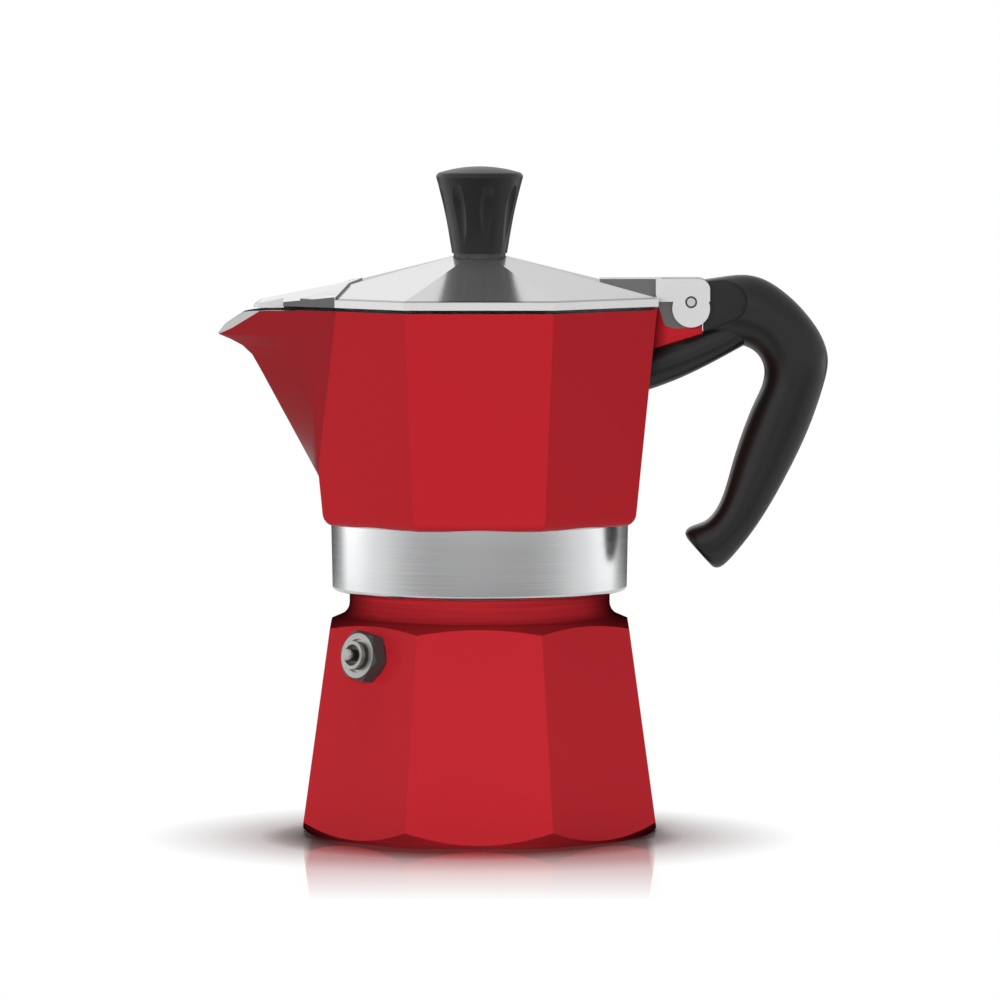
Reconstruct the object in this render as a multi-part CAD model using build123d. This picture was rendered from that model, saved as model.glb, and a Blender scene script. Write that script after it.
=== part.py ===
"""Octagonal stovetop moka pot, three cups, in millimetres.

The origin is the centre of the boiler's underside, +Z is up, the spout points to -X and the handle to +X.
"""
import os
from math import atan2, cos, radians, sin, sqrt, tan

from build123d import *

# Fits shared by all pieces
press_gap = 0.02
running_gap = 0.05
easy_gap = 0.3
seat_gap = 0.1

# Boiler: a drafted octagon with a turned foot, a turned shoulder and a threaded neck
side_count = 8
boiler_foot_flats = 88.7
boiler_shoulder_flats = 74.1
boiler_shoulder_z = 53.3
boiler_wall = 3.0
boiler_floor = 3.4
boiler_floor_round = 6.0
boiler_neck_round = 3.0
foot_circle = 86.9
foot_bevel_angle = 44.0
foot_groove_diameter = 62.0
foot_groove_width = 1.6
foot_groove_depth = 0.4
shoulder_angle = 23.4
neck_diameter = 65.2
neck_blend = 3.5
neck_bore = 56.8
neck_rim_z = 75.0
thread_core_diameter = 62.6
thread_start_z = 60.2
thread_depth = 0.6

# Safety valve, on the face that looks to -X and -Y
valve_z = 45.8
valve_boss_diameter = 17.0
valve_boss_height = 3.0
valve_thread_diameter = 10.0
valve_shank_length = 7.4
valve_hex_flats = 11.5
valve_hex_turn = -10.0
valve_hex_height = 3.9
valve_face_diameter = 11.1
valve_face_bevel_angle = 30.0
valve_groove_diameter = 8.4
valve_groove_depth = 0.8
valve_collar_diameter = 7.0
valve_collar_height = 1.8
valve_bore = 5.3
valve_inlet = 2.6
valve_seat_depth = 4.2
valve_pin_diameter = 2.9
valve_pin_reach = 1.9
valve_pin_bevel = 0.35
valve_flange_diameter = 4.6
valve_flange_height = 1.2
valve_seal_height = 0.8
valve_retainer_height = 0.9
valve_retainer_depth = 2.7
valve_washer_diameter = 11.2
valve_washer_height = 0.8
valve_spring_wire = 0.5
valve_spring_turns = 4

# Funnel and its disc
funnel_sheet = 0.8
funnel_flange_diameter = 62.2
funnel_cup_diameter = 55.8
funnel_cup_depth = 23.0
funnel_cone_height = 8.0
funnel_stem_diameter = 11.2
funnel_stem_foot_z = 8.5
funnel_disc_ledge = 1.4
disc_sheet = 0.6
disc_hole = 2.0
disc_hole_pitch = 6.6
disc_hole_rings = 3

# Gasket and filter plate
gasket_diameter = 65.0
gasket_bore = 53.0
gasket_height = 3.8
gasket_edge_round = 0.6
plate_diameter = 56.6
plate_sheet = 0.8
plate_dish_diameter = 47.0
plate_dish_depth = 1.5

# Collar and collector: one casting
collar_foot_z = 60.6
collar_top_z = 77.4
collar_foot_diameter = 73.7
collar_top_diameter = 74.4
collar_edge_round = 1.0
collector_foot_flats = 77.35
collector_rim_flats = 88.0
collector_rim_z = 131.3
collector_foot_round = 3.4
collector_wall = 2.6
collector_floor_z = 83.6
collector_floor_round = 3.0
passage_depth = 1.0
passage_rise = 4.0
floor_cone_diameter = 50.0
floor_cone_rise = 4.4

# Spout: the keel's places as (drop below the rim, reach beyond the body's face at that height), and the
# lip's as (reach beyond the rim's face, drop below the rim). The lip is ground down outwards to a flat bevel
# on each flank, with its lower edge between two such places.
spout_corner_drop = 40.3
spout_rim_half_width = 27.0
spout_nose_round = 1.6
spout_root_sink = 0.05
spout_root_reach = 24.0
spout_root_half_width = 14.0
spout_keel = [(42.9, 0.2), (34.3, 4.0), (25.3, 8.0), (15.9, 12.15), (11.8, 14.05),
              (9.5, 16.25), (7.9, 19.1), (6.7, 21.85), (4.9, 23.1), (0.0, 23.4)]
spout_lip = [(0.0, 0.0), (7.5, 0.3), (13.0, 0.7), (17.0, 1.6), (20.0, 3.6), (24.5, 8.0)]
spout_bevel_edge = [(13.6, 2.2), (20.6, 6.9)]
spout_bevel_rise = 1.35

# Riser
riser_foot_diameter = 12.0
riser_root_diameter = 15.0
riser_tip_diameter = 10.4
riser_drop = 15.3
riser_bore = 6.8
riser_cap_height = 7.0
riser_cap_sheet = 1.0
riser_cap_overlap = 3.0
riser_outlet_width = 3.0
riser_outlet_height = 2.6

# Hinge: reaches to the pin from the rim's face, and from the pin outwards
hinge_reach = 8.7
hinge_rise = 1.6
hinge_pin_diameter = 2.9
lug_half_width = 5.2
lug_drop = 11.8
lug_end_reach = 2.9
lug_knuckle_radius = 4.2
lug_lid_gap = 0.4
lug_spotface_radius = 8.2
lug_spotface_place = (-3.0, 1.5)
lug_spotface_depth = 0.2
ear_inner_gap = 0.3
ear_thickness = 3.2
ear_root_depth = 0.5
ear_foot_rise = 0.8
ear_end_reach = 4.7
ear_lobe_radius = 4.7
ear_lobe_drop = 1.6
ear_corner_round = 2.6

# Lid: its tab and its spout cover are placed from the middle of its sides, outwards
lid_overhang = 0.4
lid_gap = 0.9
lid_skirt_height = 2.0
lid_slope_angle = 14.7
lid_sheet = 1.3
lid_seat_diameter = 13.0
lid_seat_rise = 0.75
lid_seat_height = 2.7
tab_rise = 5.7
tab_run = 14.4
tab_overhang = 1.2
tab_half_width = 6.2
cover_apex_run = 15.1
cover_corner_run = 8.9
cover_overhang = 4.3
cover_shoulder_half_width = 16.0
cover_ridge_rise = 5.9
cover_ridge_run = 12.9
cover_ridge_slope = 0.2
cover_side_slope = 0.09
tongue_half_width = 8.0
tongue_overhang = 11.9
tongue_tip_round = 2.5
tongue_drop = 0.7
tongue_bevel_run = 2.0
tongue_bevel_slope = 0.7

# Knob: its outline as (height above the seat, radius), and its flutes' floor as (height, depth in the flank)
knob_outline = [(0.0, 6.9), (4.0, 7.55), (9.5, 8.55), (14.7, 9.75), (19.0, 10.87)]
knob_edge_round = 1.2
knob_dome_angle = 17.0
knob_flute_count = 8
knob_flute_turn = 12.0
knob_flute_radius = 2.6
knob_flute_course = [(0.6, -0.1), (4.0, 0.15), (8.0, 0.55), (12.0, 0.9), (15.0, 0.85), (17.4, -0.1)]
knob_stud_diameter = 4.0
knob_stud_depth = 9.0
knob_stud_end = 1.2
knob_nut_flats = 7.0
knob_nut_height = 3.2
knob_washer_diameter = 9.0
knob_washer_height = 0.8

# Handle: its outer and inner edges as (reach, rise) places from the pin, down to the foot, and the brace's
# stations as (upper place, lower place, width)
handle_width = 16.8
handle_foot_width = 14.8
handle_fullness = 0.86
handle_outer_bend = [(3.3, 5.3), (9.3, 6.2), (15.5, 6.3), (22.7, 2.8), (30.1, -4.6), (34.3, -13.6)]
handle_outer_arm = [(33.0, -22.0), (29.3, -32.5), (24.3, -43.0), (18.3, -53.5), (9.2, -65.3)]
handle_inner_bend = [(3.3, -7.5), (9.7, -10.5), (14.3, -11.5), (17.7, -14.5), (18.6, -18.1)]
handle_inner_arm = [(16.3, -25.0), (13.0, -33.3), (10.3, -42.1), (8.2, -49.2), (5.3, -54.1), (0.9, -56.4)]
handle_bend_steps = 8
handle_arm_steps = 14
handle_foot_stations = [((7.4, -66.6), (-0.8, -57.5), 14.2), ((5.6, -66.4), (-0.7, -59.4), 11.8)]
brace_stations = [
    ((-12.7, -12.9), (-14.7, -23.3), 15.0),
    ((-6.3, -10.3), (-4.7, -20.0), 15.4),
    ((1.3, -8.2), (3.5, -16.2), 15.6),
    ((11.3, -2.9), (13.3, -11.0), 13.0),
]
scoop_gap = 0.8
scoop_reach = 9.0
scoop_round = 5.0
screw_inset = 2.3
screw_diameter = 4.0
screw_head_diameter = 7.2
screw_head_height = 2.0
screw_slot_width = 1.1
screw_seat_drop = 1.4
screw_bite = 6.5

# Places that follow from the sizes above
half_side = 180.0 / side_count
boiler_draft = (boiler_foot_flats - boiler_shoulder_flats) / 2 / boiler_shoulder_z
collector_height = collector_rim_z - collar_top_z
collector_draft = (collector_rim_flats - collector_foot_flats) / 2 / collector_height
funnel_rim_z = neck_rim_z + funnel_sheet
gasket_top_z = funnel_rim_z + gasket_height
gasket_recess_radius = gasket_diameter / 2 + easy_gap
plate_recess_radius = plate_diameter / 2 + easy_gap
passage_z = gasket_top_z + passage_depth
collar_bore_radius = thread_core_diameter / 2 + thread_depth + easy_gap
spout_corner_z = collector_rim_z - spout_corner_drop
riser_top_z = collector_rim_z - riser_drop
hinge_x = collector_rim_flats / 2 + hinge_reach
hinge_z = collector_rim_z + hinge_rise
lug_foot_z = collector_rim_z - lug_drop
lug_end_x = hinge_x + lug_end_reach
screw_x = hinge_x - screw_inset
screw_seat_z = lug_foot_z - screw_seat_drop
screw_tip_z = lug_foot_z + screw_bite
ear_end_x = hinge_x + ear_end_reach
ear_inner_y = lug_half_width + ear_inner_gap
ear_outer_y = ear_inner_y + ear_thickness
tab_top_z = hinge_z + tab_rise
lid_apothem = collector_rim_flats / 2 + lid_overhang
lid_foot_z = collector_rim_z + lid_gap
lid_skirt_z = lid_foot_z + lid_skirt_height
lid_slope = tan(radians(lid_slope_angle))
lid_peak_z = lid_skirt_z + lid_slope * (lid_apothem - lid_seat_diameter / 2)
lid_seat_z = lid_peak_z + lid_seat_rise


def octagon(apothem, z):
    """Level octagon at height z, with flat sides across X and Y."""
    return Pos(0, 0, z) * RegularPolygon(apothem, side_count, major_radius=False, rotation=half_side)


def frustum(low_apothem, low_z, high_apothem, high_z):
    """Octagonal body between two levels."""
    return loft([octagon(low_apothem, low_z), octagon(high_apothem, high_z)], ruled=True)


def outline_face(points, rounds=()):
    """Flat face inside straight edges, with some corners rounded: rounds lists (corner number, radius)."""
    face = make_face(Polyline(*points, close=True))
    for corner_number, radius in rounds:
        corner = face.vertices().sort_by_distance(points[corner_number])[0]
        face = fillet(corner, radius)
    return face


def turned(points, rounds=()):
    """Body turned about the Z axis from (radius, height) points."""
    return revolve(Plane.XZ * outline_face(points, rounds), Axis.Z)


def side_plate(points, half_width, rounds=()):
    """Plate across Y, cut to (x, height) points."""
    return extrude(Plane.XZ * outline_face(points, rounds), half_width, both=True)


def rod(radius, low_z, high_z):
    """Upright round bar on the Z axis."""
    return Pos(0, 0, low_z) * Cylinder(radius, high_z - low_z, align=(Align.CENTER, Align.CENTER, Align.MIN))


def cross_rod(radius, x, z, half_length):
    """Round bar along Y."""
    return Pos(x, 0, z) * Rot(90, 0, 0) * Cylinder(radius, 2 * half_length)


def boiler_apothem(z):
    """Distance from the axis to the middle of a boiler face."""
    return boiler_foot_flats / 2 - boiler_draft * z


def collector_apothem(z):
    """Distance from the axis to the middle of a collector face."""
    return collector_foot_flats / 2 + collector_draft * (z - collar_top_z)


def lid_top(x):
    """Height of the lid's pyramid at a distance from the axis, over the middle of a side."""
    return lid_skirt_z + lid_slope * (lid_apothem - x)


def valve_frame():
    """Plane on the boiler face at the valve, with its Z axis straight out of the face."""
    tilt = atan2(boiler_draft, 1)
    level = cos(radians(45))
    outward = (-level * cos(tilt), -level * cos(tilt), sin(tilt))
    reach = boiler_apothem(valve_z)
    return Plane(origin=(-level * reach, -level * reach, valve_z), x_dir=(level, -level, 0), z_dir=outward)


def placed_on_valve(shape):
    """Move a valve piece from its own axis to its place on the boiler."""
    return valve_frame().location * shape


def make_boiler():
    """Octagon cut by turned foot and shoulder, hollowed by a turned cavity, with a boss for the valve."""
    widest = boiler_foot_flats / 2 / cos(radians(half_side)) + 1
    bevel_rise = (widest - foot_circle / 2) * tan(radians(foot_bevel_angle))
    shoulder_drop = (widest - boiler_shoulder_flats / 2) * tan(radians(shoulder_angle))
    neck_root_rise = (boiler_shoulder_flats - neck_diameter) / 2 * tan(radians(shoulder_angle))
    shell = turned([
        (0, 0), (foot_circle / 2, 0), (widest, bevel_rise), (widest, boiler_shoulder_z - shoulder_drop),
        (neck_diameter / 2, boiler_shoulder_z + neck_root_rise), (neck_diameter / 2, thread_start_z),
        (thread_core_diameter / 2, thread_start_z), (thread_core_diameter / 2, neck_rim_z), (0, neck_rim_z),
    ], [(4, neck_blend)])
    body = shell & frustum(boiler_apothem(0), 0, boiler_apothem(neck_rim_z), neck_rim_z)
    inner_shoulder_z = boiler_shoulder_z - boiler_wall
    inner_shoulder_r = boiler_apothem(inner_shoulder_z) - boiler_wall
    inner_neck_z = inner_shoulder_z + inner_shoulder_r - neck_bore / 2
    cavity = turned([
        (0, boiler_floor), (boiler_apothem(boiler_floor) - boiler_wall, boiler_floor),
        (inner_shoulder_r, inner_shoulder_z), (neck_bore / 2, inner_neck_z),
        (neck_bore / 2, neck_rim_z + 1), (0, neck_rim_z + 1),
    ], [(1, boiler_floor_round), (2, boiler_neck_round), (3, boiler_neck_round)])
    boss_depth = boiler_wall + valve_boss_height
    boss = placed_on_valve(rod(valve_boss_diameter / 2, -boss_depth, -boiler_wall / 2))
    hole = placed_on_valve(rod(valve_thread_diameter / 2 + press_gap, -2 * boss_depth, boss_depth))
    groove_outer = rod(foot_groove_diameter / 2, -1, foot_groove_depth)
    groove = groove_outer - rod(foot_groove_diameter / 2 - foot_groove_width, -1, foot_groove_depth)
    return body - cavity + boss - hole - groove


def make_valve_washer():
    """Flat sealing ring between the boiler face and the hexagon."""
    ring = rod(valve_washer_diameter / 2, 0, valve_washer_height)
    return placed_on_valve(ring - rod(valve_thread_diameter / 2 + press_gap, -1, valve_washer_height + 1))


def make_valve_body():
    """Hexagon with a bevelled front, a collar standing in a groove, a screwed shank and a stepped bore."""
    front = valve_washer_height + valve_hex_height
    hexagon = Pos(0, 0, valve_washer_height) * extrude(
        RegularPolygon(valve_hex_flats / 2, 6, major_radius=False, rotation=valve_hex_turn), valve_hex_height)
    corner = valve_hex_flats
    bevel_drop = (corner - valve_face_diameter / 2) * tan(radians(valve_face_bevel_angle))
    hexagon &= turned([
        (0, 0), (corner, 0), (corner, front - bevel_drop), (valve_face_diameter / 2, front), (0, front)])
    body = hexagon - rod(valve_groove_diameter / 2, front - valve_groove_depth, front + 1)
    body += rod(valve_collar_diameter / 2, front - valve_groove_depth, front + valve_collar_height)
    body += rod(valve_thread_diameter / 2, -valve_shank_length, valve_washer_height)
    body -= rod(valve_bore / 2, -valve_seat_depth, front + 2 * valve_collar_height)
    return placed_on_valve(body - rod(valve_inlet / 2, -valve_shank_length - 1, 0))


def valve_flange_z():
    """Height of the spring's seat on the plunger, along the valve's axis."""
    return valve_seal_height + valve_flange_height - valve_seat_depth


def valve_retainer_z():
    """Height of the retainer's inner face, along the valve's axis."""
    mouth = valve_washer_height + valve_hex_height + valve_collar_height
    return mouth - valve_retainer_depth - valve_retainer_height


def make_valve_seal():
    """Rubber disc over the inlet."""
    top = valve_seal_height - valve_seat_depth
    return placed_on_valve(rod(valve_flange_diameter / 2, -valve_seat_depth, top))


def make_valve_plunger():
    """Pin with a flange at its inner end and a bevelled tip outside."""
    tip = valve_washer_height + valve_hex_height + valve_collar_height + valve_pin_reach
    flange = rod(valve_flange_diameter / 2, valve_seal_height - valve_seat_depth, valve_flange_z())
    radius = valve_pin_diameter / 2
    pin = turned([
        (0, valve_flange_z()), (radius, valve_flange_z()), (radius, tip - valve_pin_bevel),
        (radius - valve_pin_bevel, tip), (0, tip)])
    return placed_on_valve(flange + pin)


def make_valve_retainer():
    """Ring pressed into the bore, which the spring pushes on."""
    low = valve_retainer_z()
    high = low + valve_retainer_height
    ring = rod(valve_bore / 2 - press_gap, low, high)
    return placed_on_valve(ring - rod(valve_pin_diameter / 2 + easy_gap, low - 1, high + 1))


def make_valve_spring():
    """Round wire wound between the flange and the retainer, one wire clear of each."""
    middle_radius = (valve_bore + valve_pin_diameter) / 4
    length = valve_retainer_z() - valve_flange_z() - valve_spring_wire
    pitch = length / valve_spring_turns
    path = Pos(0, 0, valve_flange_z() + valve_spring_wire / 2) * Helix(pitch, length, middle_radius)
    section = Plane(origin=path @ 0, z_dir=path % 0) * Circle(valve_spring_wire / 2)
    return placed_on_valve(sweep(section, path))


def ring_places(radius, pitch, rings):
    """Hole centres on even circles about the axis, the first at the middle."""
    places = [(0.0, 0.0)]
    for ring in range(1, rings + 1):
        for step in range(6 * ring):
            turn = radians(360 * step / (6 * ring))
            places.append((ring * pitch * cos(turn), ring * pitch * sin(turn)))
    return [place for place in places if sqrt(place[0] ** 2 + place[1] ** 2) < radius]


def funnel_floor_z():
    """Height of the ledge that the perforated disc lies on."""
    return neck_rim_z - funnel_cup_depth


def make_funnel():
    """Thin turned cup with a flange on the boiler's rim, a cone and a stem into the water."""
    cup = funnel_cup_diameter / 2
    stem = funnel_stem_diameter / 2
    floor_z = funnel_floor_z()
    stem_top = floor_z - funnel_cone_height
    outside = turned([
        (0, funnel_stem_foot_z), (stem, funnel_stem_foot_z), (stem, stem_top - funnel_sheet),
        (cup, floor_z - funnel_sheet), (cup, neck_rim_z), (funnel_flange_diameter / 2, neck_rim_z),
        (funnel_flange_diameter / 2, funnel_rim_z), (0, funnel_rim_z)])
    inside = turned([
        (0, funnel_stem_foot_z - 1), (stem - funnel_sheet, funnel_stem_foot_z - 1),
        (stem - funnel_sheet, stem_top), (cup - funnel_sheet - funnel_disc_ledge, floor_z),
        (cup - funnel_sheet, floor_z), (cup - funnel_sheet, funnel_rim_z + 1), (0, funnel_rim_z + 1)])
    return outside - inside


def make_funnel_disc():
    """Perforated disc lying on the funnel's ledge."""
    radius = funnel_cup_diameter / 2 - funnel_sheet - press_gap
    low = funnel_floor_z()
    disc = rod(radius, low, low + disc_sheet)
    holes = [Pos(x, y, 0) * rod(disc_hole / 2, low - 1, low + disc_sheet + 1)
             for x, y in ring_places(radius - disc_hole, disc_hole_pitch, disc_hole_rings)]
    return disc - holes


def make_gasket():
    """Flat rubber ring with softened edges, squeezed between the funnel's flange and the collector."""
    inner = gasket_bore / 2
    outer = gasket_diameter / 2
    edge = gasket_edge_round
    corners = [(inner, funnel_rim_z), (outer, funnel_rim_z), (outer, gasket_top_z), (inner, gasket_top_z)]
    return turned(corners, [(0, edge), (1, edge), (2, edge), (3, edge)])


def make_filter_plate():
    """Pressed plate whose flat rim lies on the gasket and whose dish hangs through the gasket's bore."""
    dish = plate_dish_diameter / 2
    wall = dish + plate_dish_depth
    low = gasket_top_z - plate_dish_depth
    plate = turned([
        (0, low), (dish, low), (wall, gasket_top_z), (plate_diameter / 2, gasket_top_z),
        (plate_diameter / 2, gasket_top_z + plate_sheet),
        (wall - plate_sheet / 2, gasket_top_z + plate_sheet),
        (dish - plate_sheet / 2, low + plate_sheet), (0, low + plate_sheet)])
    holes = [Pos(x, y, 0) * rod(disc_hole / 2, low - 1, low + plate_sheet + 1)
             for x, y in ring_places(dish - disc_hole, disc_hole_pitch, disc_hole_rings)]
    return plate - holes


def spout_section(z, reach, inset):
    """Level V of the spout: two flanks run from the body's faces to a rounded keel, all moved in by inset."""
    apothem = collector_apothem(z) - spout_root_sink
    corner_width = collector_apothem(spout_corner_z) * tan(radians(half_side))
    share = max(z - spout_corner_z, 0) / (collector_rim_z - spout_corner_z)
    half_width = min(apothem * tan(radians(half_side)), corner_width)
    half_width += share * (spout_rim_half_width - corner_width)
    root = apothem / cos(radians(2 * half_side)) - half_width
    to_nose = reach - spout_nose_round - root
    distance = sqrt(to_nose ** 2 + half_width ** 2)
    flank = atan2(half_width, to_nose) - atan2(spout_nose_round, sqrt(distance ** 2 - spout_nose_round ** 2))
    apex = root + half_width / tan(flank) - inset / sin(flank)
    nose_round = spout_nose_round - inset / 2
    touch_x = nose_round / tan(flank) * cos(flank) - apex
    touch_y = nose_round * cos(flank)
    base_x = inset * sin(flank) - root
    base_y = half_width - inset * cos(flank)
    nose = ThreePointArc(
        (touch_x, touch_y), (nose_round * (1 / sin(flank) - 1) - apex, 0), (touch_x, -touch_y))
    sides = Polyline(
        (touch_x, -touch_y), (base_x, -base_y), (-spout_root_reach, -spout_root_half_width),
        (-spout_root_reach, spout_root_half_width), (base_x, base_y), (touch_x, touch_y))
    return Pos(0, 0, z) * make_face(nose + sides)


def spout_body(inset, extra_height):
    """Spout lofted through level sections, as its outside or, moved in by the wall, as its channel."""
    sections = []
    for drop, reach in spout_keel:
        z = collector_rim_z - drop
        sections.append(spout_section(z, collector_apothem(z) + reach, inset))
    body = loft(sections, ruled=True)
    if extra_height > 0:
        body += extrude(sections[-1], extra_height)
    return body


def spout_lip_cut():
    """Everything above the curve of the lip."""
    rim_x = collector_rim_flats / 2
    places = [(-rim_x - reach, collector_rim_z - drop) for reach, drop in spout_lip]
    curve = Spline(*places)
    above = collector_rim_z + collector_wall
    first = places[0]
    last = places[-1]
    frame_line = Polyline(last, (last[0], above), (first[0], above), first)
    return extrude(Plane.XZ * make_face(curve + frame_line), spout_rim_half_width, both=True)


def spout_bevels():
    """Blocks above the two bevels that fall outwards across the lip."""
    rim_x = collector_rim_flats / 2
    root_x = rim_x / cos(radians(2 * half_side)) - spout_rim_half_width
    nose_x = rim_x + spout_keel[-1][1]
    flank_fall = spout_rim_half_width / (nose_x - root_x)
    (inner_reach, inner_drop), (outer_reach, outer_drop) = spout_bevel_edge
    run = outer_reach - inner_reach
    along = Vector(-run, -run * flank_fall, inner_drop - outer_drop)
    inward = Vector(flank_fall, -1, spout_bevel_rise * sqrt(1 + flank_fall ** 2))
    origin = (-rim_x - outer_reach, (nose_x - rim_x - outer_reach) * flank_fall, collector_rim_z - outer_drop)
    bevel = Plane(origin=origin, x_dir=along, z_dir=along.cross(inward))
    size = 2 * spout_rim_half_width
    block = bevel.location * Box(size, size, size, align=(Align.CENTER, Align.CENTER, Align.MIN))
    return [block, mirror(block, Plane.XZ)]


def lug_plate(grow):
    """Hinge lug up to its knuckle, or the room for it in the handle when grown by a gap."""
    root_x = collector_apothem(lug_foot_z) - collector_wall / 2
    web_x = lid_apothem + lug_lid_gap
    return side_plate([
        (root_x, lug_foot_z - grow), (lug_end_x + grow, lug_foot_z - grow), (lug_end_x + grow, hinge_z),
        (web_x, hinge_z), (web_x, collector_rim_z), (root_x, collector_rim_z)], lug_half_width + grow)


def make_collector():
    """Collar, octagonal jug, spout and hinge lug in one casting, hollowed from above and below."""
    jug = frustum(
        collector_apothem(collar_top_z), collar_top_z, collector_apothem(collector_rim_z), collector_rim_z)
    jug = fillet(jug.faces().sort_by(Axis.Z)[0].edges(), collector_foot_round)
    collar_root_z = collar_top_z + collector_wall
    collar = turned([
        (0, collar_foot_z), (collar_foot_diameter / 2, collar_foot_z),
        (collar_top_diameter / 2, collar_top_z),
        (collar_top_diameter / 2, collar_root_z), (0, collar_root_z)], [(1, collar_edge_round)])
    knuckle = cross_rod(lug_knuckle_radius, hinge_x, hinge_z, lug_half_width)
    body = jug + spout_body(0, 0) + collar + lug_plate(0) + knuckle

    chamber = frustum(
        collector_apothem(collector_floor_z) - collector_wall, collector_floor_z,
        collector_apothem(collector_rim_z + 1) - collector_wall, collector_rim_z + 1)
    chamber = fillet(chamber.faces().sort_by(Axis.Z)[0].edges(), collector_floor_round)
    channel = spout_body(collector_wall, 1)
    floor_top = collector_floor_z + floor_cone_rise
    floor_cone = turned([
        (0, collector_floor_z), (floor_cone_diameter / 2, collector_floor_z),
        (riser_root_diameter / 2, floor_top), (0, floor_top)])
    recess_z = gasket_top_z - gasket_height - easy_gap
    below = turned([
        (0, collar_foot_z - 1), (collar_bore_radius, collar_foot_z - 1), (collar_bore_radius, recess_z),
        (gasket_recess_radius, recess_z), (gasket_recess_radius, gasket_top_z),
        (plate_recess_radius, gasket_top_z), (plate_recess_radius, passage_z),
        (riser_foot_diameter / 2, passage_z + passage_rise), (0, passage_z + passage_rise)])
    riser_hole = rod(riser_foot_diameter / 2 + press_gap, passage_z, floor_top + 1)
    hollow = chamber + channel - floor_cone
    spot_x = hinge_x + lug_spotface_place[0]
    spot_z = hinge_z + lug_spotface_place[1]
    spotface = cross_rod(lug_spotface_radius, spot_x, spot_z, 2 * lug_half_width)
    spotface -= cross_rod(2 * lug_spotface_radius, spot_x, spot_z, lug_half_width - lug_spotface_depth)
    pin_hole = cross_rod(hinge_pin_diameter / 2 + press_gap, hinge_x, hinge_z, 2 * lug_half_width)
    screw_hole = Pos(screw_x, 0, 0) * rod(screw_diameter / 2 + press_gap, lug_foot_z - 1, screw_tip_z + 1)
    ground = body - hollow - spout_lip_cut() - spout_bevels()
    return ground - below - riser_hole - spotface - pin_hole - screw_hole


def make_riser_tube():
    """Tapered column pressed into the collector's floor, with a reduced tip for its cap."""
    low = passage_z + passage_rise
    floor_top = collector_floor_z + floor_cone_rise
    tip = riser_tip_diameter / 2
    spigot = tip - riser_cap_sheet
    shoulder_z = riser_top_z - riser_cap_overlap
    column = turned([
        (0, low), (riser_foot_diameter / 2, low), (riser_foot_diameter / 2, floor_top),
        (riser_root_diameter / 2, floor_top), (tip, shoulder_z), (spigot, shoulder_z), (spigot, riser_top_z),
        (0, riser_top_z)])
    return column - rod(riser_bore / 2, low - 1, riser_top_z + 1)


def make_riser_cap():
    """Closed cap on the column, with an outlet on each side above the column's end."""
    low = riser_top_z - riser_cap_overlap
    high = low + riser_cap_height
    outer = riser_tip_diameter / 2
    inner = outer - riser_cap_sheet + press_gap
    cap = turned([(0, low), (outer, low), (outer, high), (0, high)], [(2, outer / 2)])
    cap -= rod(inner, low - 1, high - riser_cap_sheet)
    outlet = Pos(0, 0, riser_top_z + riser_outlet_height / 2) * Box(
        riser_outlet_width, 4 * outer, riser_outlet_height)
    return cap - outlet


def make_hinge_pin():
    """Plain pin, flush with the outsides of the lid's ears."""
    return cross_rod(hinge_pin_diameter / 2, hinge_x, hinge_z, ear_outer_y)


def grip_section(outer, inner, width):
    """Soft-cornered section across the handle, from an outer to an inner (reach, rise) place."""
    run_x = outer[0] - inner[0]
    run_z = outer[1] - inner[1]
    depth = sqrt(run_x ** 2 + run_z ** 2)
    oval = RectangleRounded(depth, width, handle_fullness * min(depth, width) / 2)
    middle = (hinge_x + (outer[0] + inner[0]) / 2, 0, hinge_z + (outer[1] + inner[1]) / 2)
    return Plane(origin=middle, x_dir=(run_x, 0, run_z), z_dir=(-run_z, 0, run_x)) * oval


def grip_stations():
    """Even steps along the grip's two smooth edges, as (outer place, inner place, width)."""
    outer = Spline(*handle_outer_bend, *handle_outer_arm)
    inner = Spline(*handle_inner_bend, *handle_inner_arm)
    outer_turn = outer.param_at_point(handle_outer_bend[-1])
    inner_turn = inner.param_at_point(handle_inner_bend[-1])
    stations = []
    for step in range(handle_bend_steps + handle_arm_steps + 1):
        bend = min(step / handle_bend_steps, 1)
        arm = max(step - handle_bend_steps, 0) / handle_arm_steps
        outer_place = outer @ (bend * outer_turn + arm * (1 - outer_turn))
        inner_place = inner @ (bend * inner_turn + arm * (1 - inner_turn))
        width = handle_width + arm * (handle_foot_width - handle_width)
        stations.append(((outer_place.X, outer_place.Y), (inner_place.X, inner_place.Y), width))
    return stations


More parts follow.
